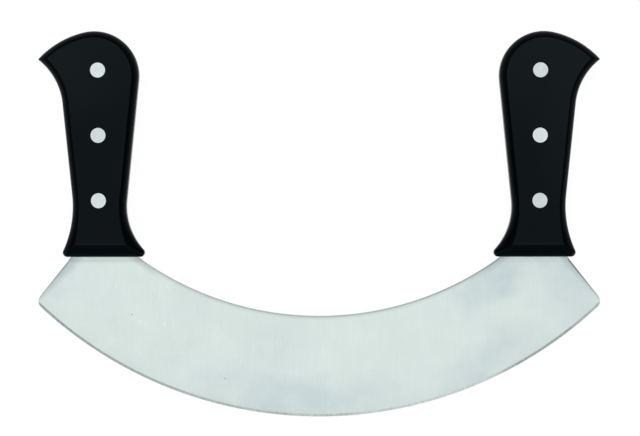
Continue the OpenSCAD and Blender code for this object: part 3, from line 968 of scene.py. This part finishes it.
def rivet_row_tree(material):
    """A row of rivet halves: the half's section is filleted, turned round its axis and repeated"""
    tree = bpy.data.node_groups.new("rivet_row", "GeometryNodeTree")
    nodes, links = tree.nodes, tree.links
    sockets = (("Row start", "Vector"), ("Row step", "Vector"), ("Rivets", "Int"), ("Seed", "Int"),
               ("Head radius", "Float"), ("Head thickness", "Float"), ("Stem radius", "Float"),
               ("Stem length", "Float"), ("Bore radius", "Float"), ("Section points", "Int"),
               ("Rim radius", "Float"), ("Direction", "Float"))
    for name, kind in sockets:
        tree.interface.new_socket(name, in_out="INPUT", socket_type=f"NodeSocket{kind}")
    tree.interface.new_socket("Geometry", in_out="OUTPUT", socket_type="NodeSocketGeometry")
    given = nodes.new("NodeGroupInput").outputs

    def math_node(operation, first, second):
        node = nodes.new("ShaderNodeMath")
        node.operation = operation
        for number, value in enumerate((first, second)):
            if isinstance(value, float):
                node.inputs[number].default_value = value
            else:
                links.new(value, node.inputs[number])
        return node.outputs["Value"]

    def section_point(radius, depth):
        outwards = math_node("SUBTRACT", radius, given["Head radius"])
        node = nodes.new("ShaderNodeCombineXYZ")
        for value, socket in ((outwards, "X"), (depth, "Y")):
            if isinstance(value, float):
                node.inputs[socket].default_value = value
            else:
                links.new(value, node.inputs[socket])
        return node.outputs["Vector"]

    end = math_node("ADD", given["Head thickness"], given["Stem length"])
    chooser = nodes.new("GeometryNodeIndexSwitch")
    chooser.data_type = "VECTOR"
    corners = (
        (0.0, 0.0),
        (given["Head radius"], 0.0),
        (given["Head radius"], given["Head thickness"]),
        (given["Stem radius"], given["Head thickness"]),
        (given["Stem radius"], end),
        (given["Bore radius"], end),
        (given["Bore radius"], given["Head thickness"]),
        (0.0, given["Head thickness"]),
    )
    while len(chooser.index_switch_items) < len(corners):
        chooser.index_switch_items.new()
    links.new(nodes.new("GeometryNodeInputIndex").outputs["Index"], chooser.inputs["Index"])
    for number, (radius, depth) in enumerate(corners):
        links.new(section_point(radius, depth), chooser.inputs[number + 1])
    chain = nodes.new("GeometryNodeMeshLine")
    links.new(given["Section points"], chain.inputs["Count"])
    shaped = nodes.new("GeometryNodeSetPosition")
    links.new(chain.outputs["Mesh"], shaped.inputs["Geometry"])
    links.new(chooser.outputs["Output"], shaped.inputs["Position"])
    section = nodes.new("GeometryNodeMeshToCurve")
    links.new(shaped.outputs["Geometry"], section.inputs["Mesh"])
    rounded = nodes.new("GeometryNodeFilletCurve")
    rounded.mode = "POLY"
    rounded.inputs["Count"].default_value = 4
    links.new(section.outputs["Curve"], rounded.inputs["Curve"])
    links.new(given["Rim radius"], rounded.inputs["Radius"])
    circle = nodes.new("GeometryNodeCurvePrimitiveCircle")
    circle.inputs["Resolution"].default_value = rivet_steps
    links.new(given["Head radius"], circle.inputs["Radius"])
    turned = nodes.new("GeometryNodeCurveToMesh")
    links.new(circle.outputs["Curve"], turned.inputs["Curve"])
    links.new(rounded.outputs["Curve"], turned.inputs["Profile Curve"])
    closed = nodes.new("GeometryNodeMergeByDistance")
    closed.inputs["Distance"].default_value = 0.000001
    links.new(turned.outputs["Mesh"], closed.inputs["Geometry"])
    place = nodes.new("GeometryNodeInputPosition").outputs["Position"]
    flat = nodes.new("ShaderNodeVectorMath")
    flat.operation = "MULTIPLY"
    flat.inputs[1].default_value = (1.0, 1.0, 0.0)
    links.new(place, flat.inputs[0])
    reach = nodes.new("ShaderNodeVectorMath")
    reach.operation = "LENGTH"
    links.new(flat.outputs["Vector"], reach.inputs[0])
    marked = nodes.new("GeometryNodeStoreNamedAttribute")
    marked.inputs["Name"].default_value = "from_axis"
    links.new(closed.outputs["Geometry"], marked.inputs["Geometry"])
    links.new(math_node("DIVIDE", reach.outputs["Value"], given["Head radius"]), marked.inputs["Value"])
    facing = nodes.new("ShaderNodeCombineXYZ")
    facing.inputs["X"].default_value = 1.0
    facing.inputs["Y"].default_value = 1.0
    links.new(given["Direction"], facing.inputs["Z"])
    aimed = nodes.new("ShaderNodeVectorMath")
    aimed.operation = "MULTIPLY"
    links.new(place, aimed.inputs[0])
    links.new(facing.outputs["Vector"], aimed.inputs[1])
    half = nodes.new("GeometryNodeSetPosition")
    links.new(marked.outputs["Geometry"], half.inputs["Geometry"])
    links.new(aimed.outputs["Vector"], half.inputs["Position"])
    rows = nodes.new("GeometryNodeJoinGeometry")
    for mirror in (1.0, -1.0):
        row = nodes.new("GeometryNodeMeshLine")
        links.new(given["Rivets"], row.inputs["Count"])
        for name, socket in (("Row start", "Start Location"), ("Row step", "Offset")):
            flipped = nodes.new("ShaderNodeVectorMath")
            flipped.operation = "MULTIPLY"
            flipped.inputs[1].default_value = (mirror, 1.0, 1.0)
            links.new(given[name], flipped.inputs[0])
            links.new(flipped.outputs["Vector"], row.inputs[socket])
        links.new(row.outputs["Mesh"], rows.inputs["Geometry"])
    placed = nodes.new("GeometryNodeInstanceOnPoints")
    links.new(rows.outputs["Geometry"], placed.inputs["Points"])
    links.new(half.outputs["Geometry"], placed.inputs["Instance"])
    chance = nodes.new("FunctionNodeRandomValue")
    links.new(given["Seed"], chance.inputs["Seed"])
    shaded = nodes.new("GeometryNodeStoreNamedAttribute")
    shaded.domain = "INSTANCE"
    shaded.inputs["Name"].default_value = "rivet_shade"
    links.new(placed.outputs["Instances"], shaded.inputs["Geometry"])
    links.new(chance.outputs[1], shaded.inputs["Value"])
    real = nodes.new("GeometryNodeRealizeInstances")
    links.new(shaded.outputs["Geometry"], real.inputs["Geometry"])
    finished = nodes.new("GeometryNodeSetMaterial")
    finished.inputs["Material"].default_value = material
    links.new(real.outputs["Geometry"], finished.inputs["Geometry"])
    links.new(finished.outputs["Geometry"], nodes.new("NodeGroupOutput").inputs["Geometry"])
    return tree


def grown_piece(name, tree, values, crisp):
    """A piece made by a node tree, as one plain mesh. The values go in by their sockets' names."""
    piece = bpy.data.objects.new(name, bpy.data.meshes.new(name))
    bpy.context.collection.objects.link(piece)
    modifier = piece.modifiers.new("grown", "NODES")
    modifier.node_group = tree
    for socket in tree.interface.items_tree:
        if socket.in_out == "INPUT":
            modifier[socket.identifier] = values[socket.name]
    grown = piece.evaluated_get(bpy.context.evaluated_depsgraph_get())
    mesh = bpy.data.meshes.new_from_object(grown)
    piece.modifiers.remove(modifier)
    shell = bmesh.new()
    shell.from_mesh(mesh)
    bmesh.ops.remove_doubles(shell, verts=shell.verts, dist=0.000001)
    bmesh.ops.recalc_face_normals(shell, faces=shell.faces)
    for face in shell.faces:
        face.smooth = True
    shell.to_mesh(mesh)
    shell.free()
    mesh.set_sharp_from_angle(angle=math.radians(crisp))
    mesh.name = name
    piece.data = mesh
    return piece


rivet_tree = rivet_row_tree(rivet_steel())
right_rivets = rivet_places("right")
front_z, back_z = cad_box[1][2], cad_box[0][2]
stem_length = (front_z - back_z) - 2 * head_t - shank_gap
rivet_row = {
    "Row step": (*(right_rivets[1] - right_rivets[0]), 0.0),
    "Rivets": len(right_rivets),
    "Head radius": (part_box("right_top_rivet_post")[1][0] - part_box("right_top_rivet_post")[0][0]) / 2,
    "Head thickness": head_t,
    "Stem length": stem_length,
    "Rim radius": rim_r,
}
halves = (
    ("rivet_posts", "post", front_z, 1.0, 308, post_r, 0.0, 6),
    ("rivet_sockets", "socket", back_z, -1.0, 8, shank_r, post_r, 8),
)
for name, half, face_z, direction, seed, stem_r, bore_r, corners in halves:
    values = dict(rivet_row)
    values["Row start"] = (*right_rivets[0], face_z)
    values["Direction"] = direction
    values["Seed"] = seed
    values["Stem radius"] = stem_r
    values["Bore radius"] = bore_r
    values["Section points"] = corners
    rivets = grown_piece(name, rivet_tree, values, 30.0)
    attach(rivets, "root")
    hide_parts(*[f"{side}_{level}_rivet_{half}" for side in ("left", "right")
                          for level in ("bottom", "middle", "top")])
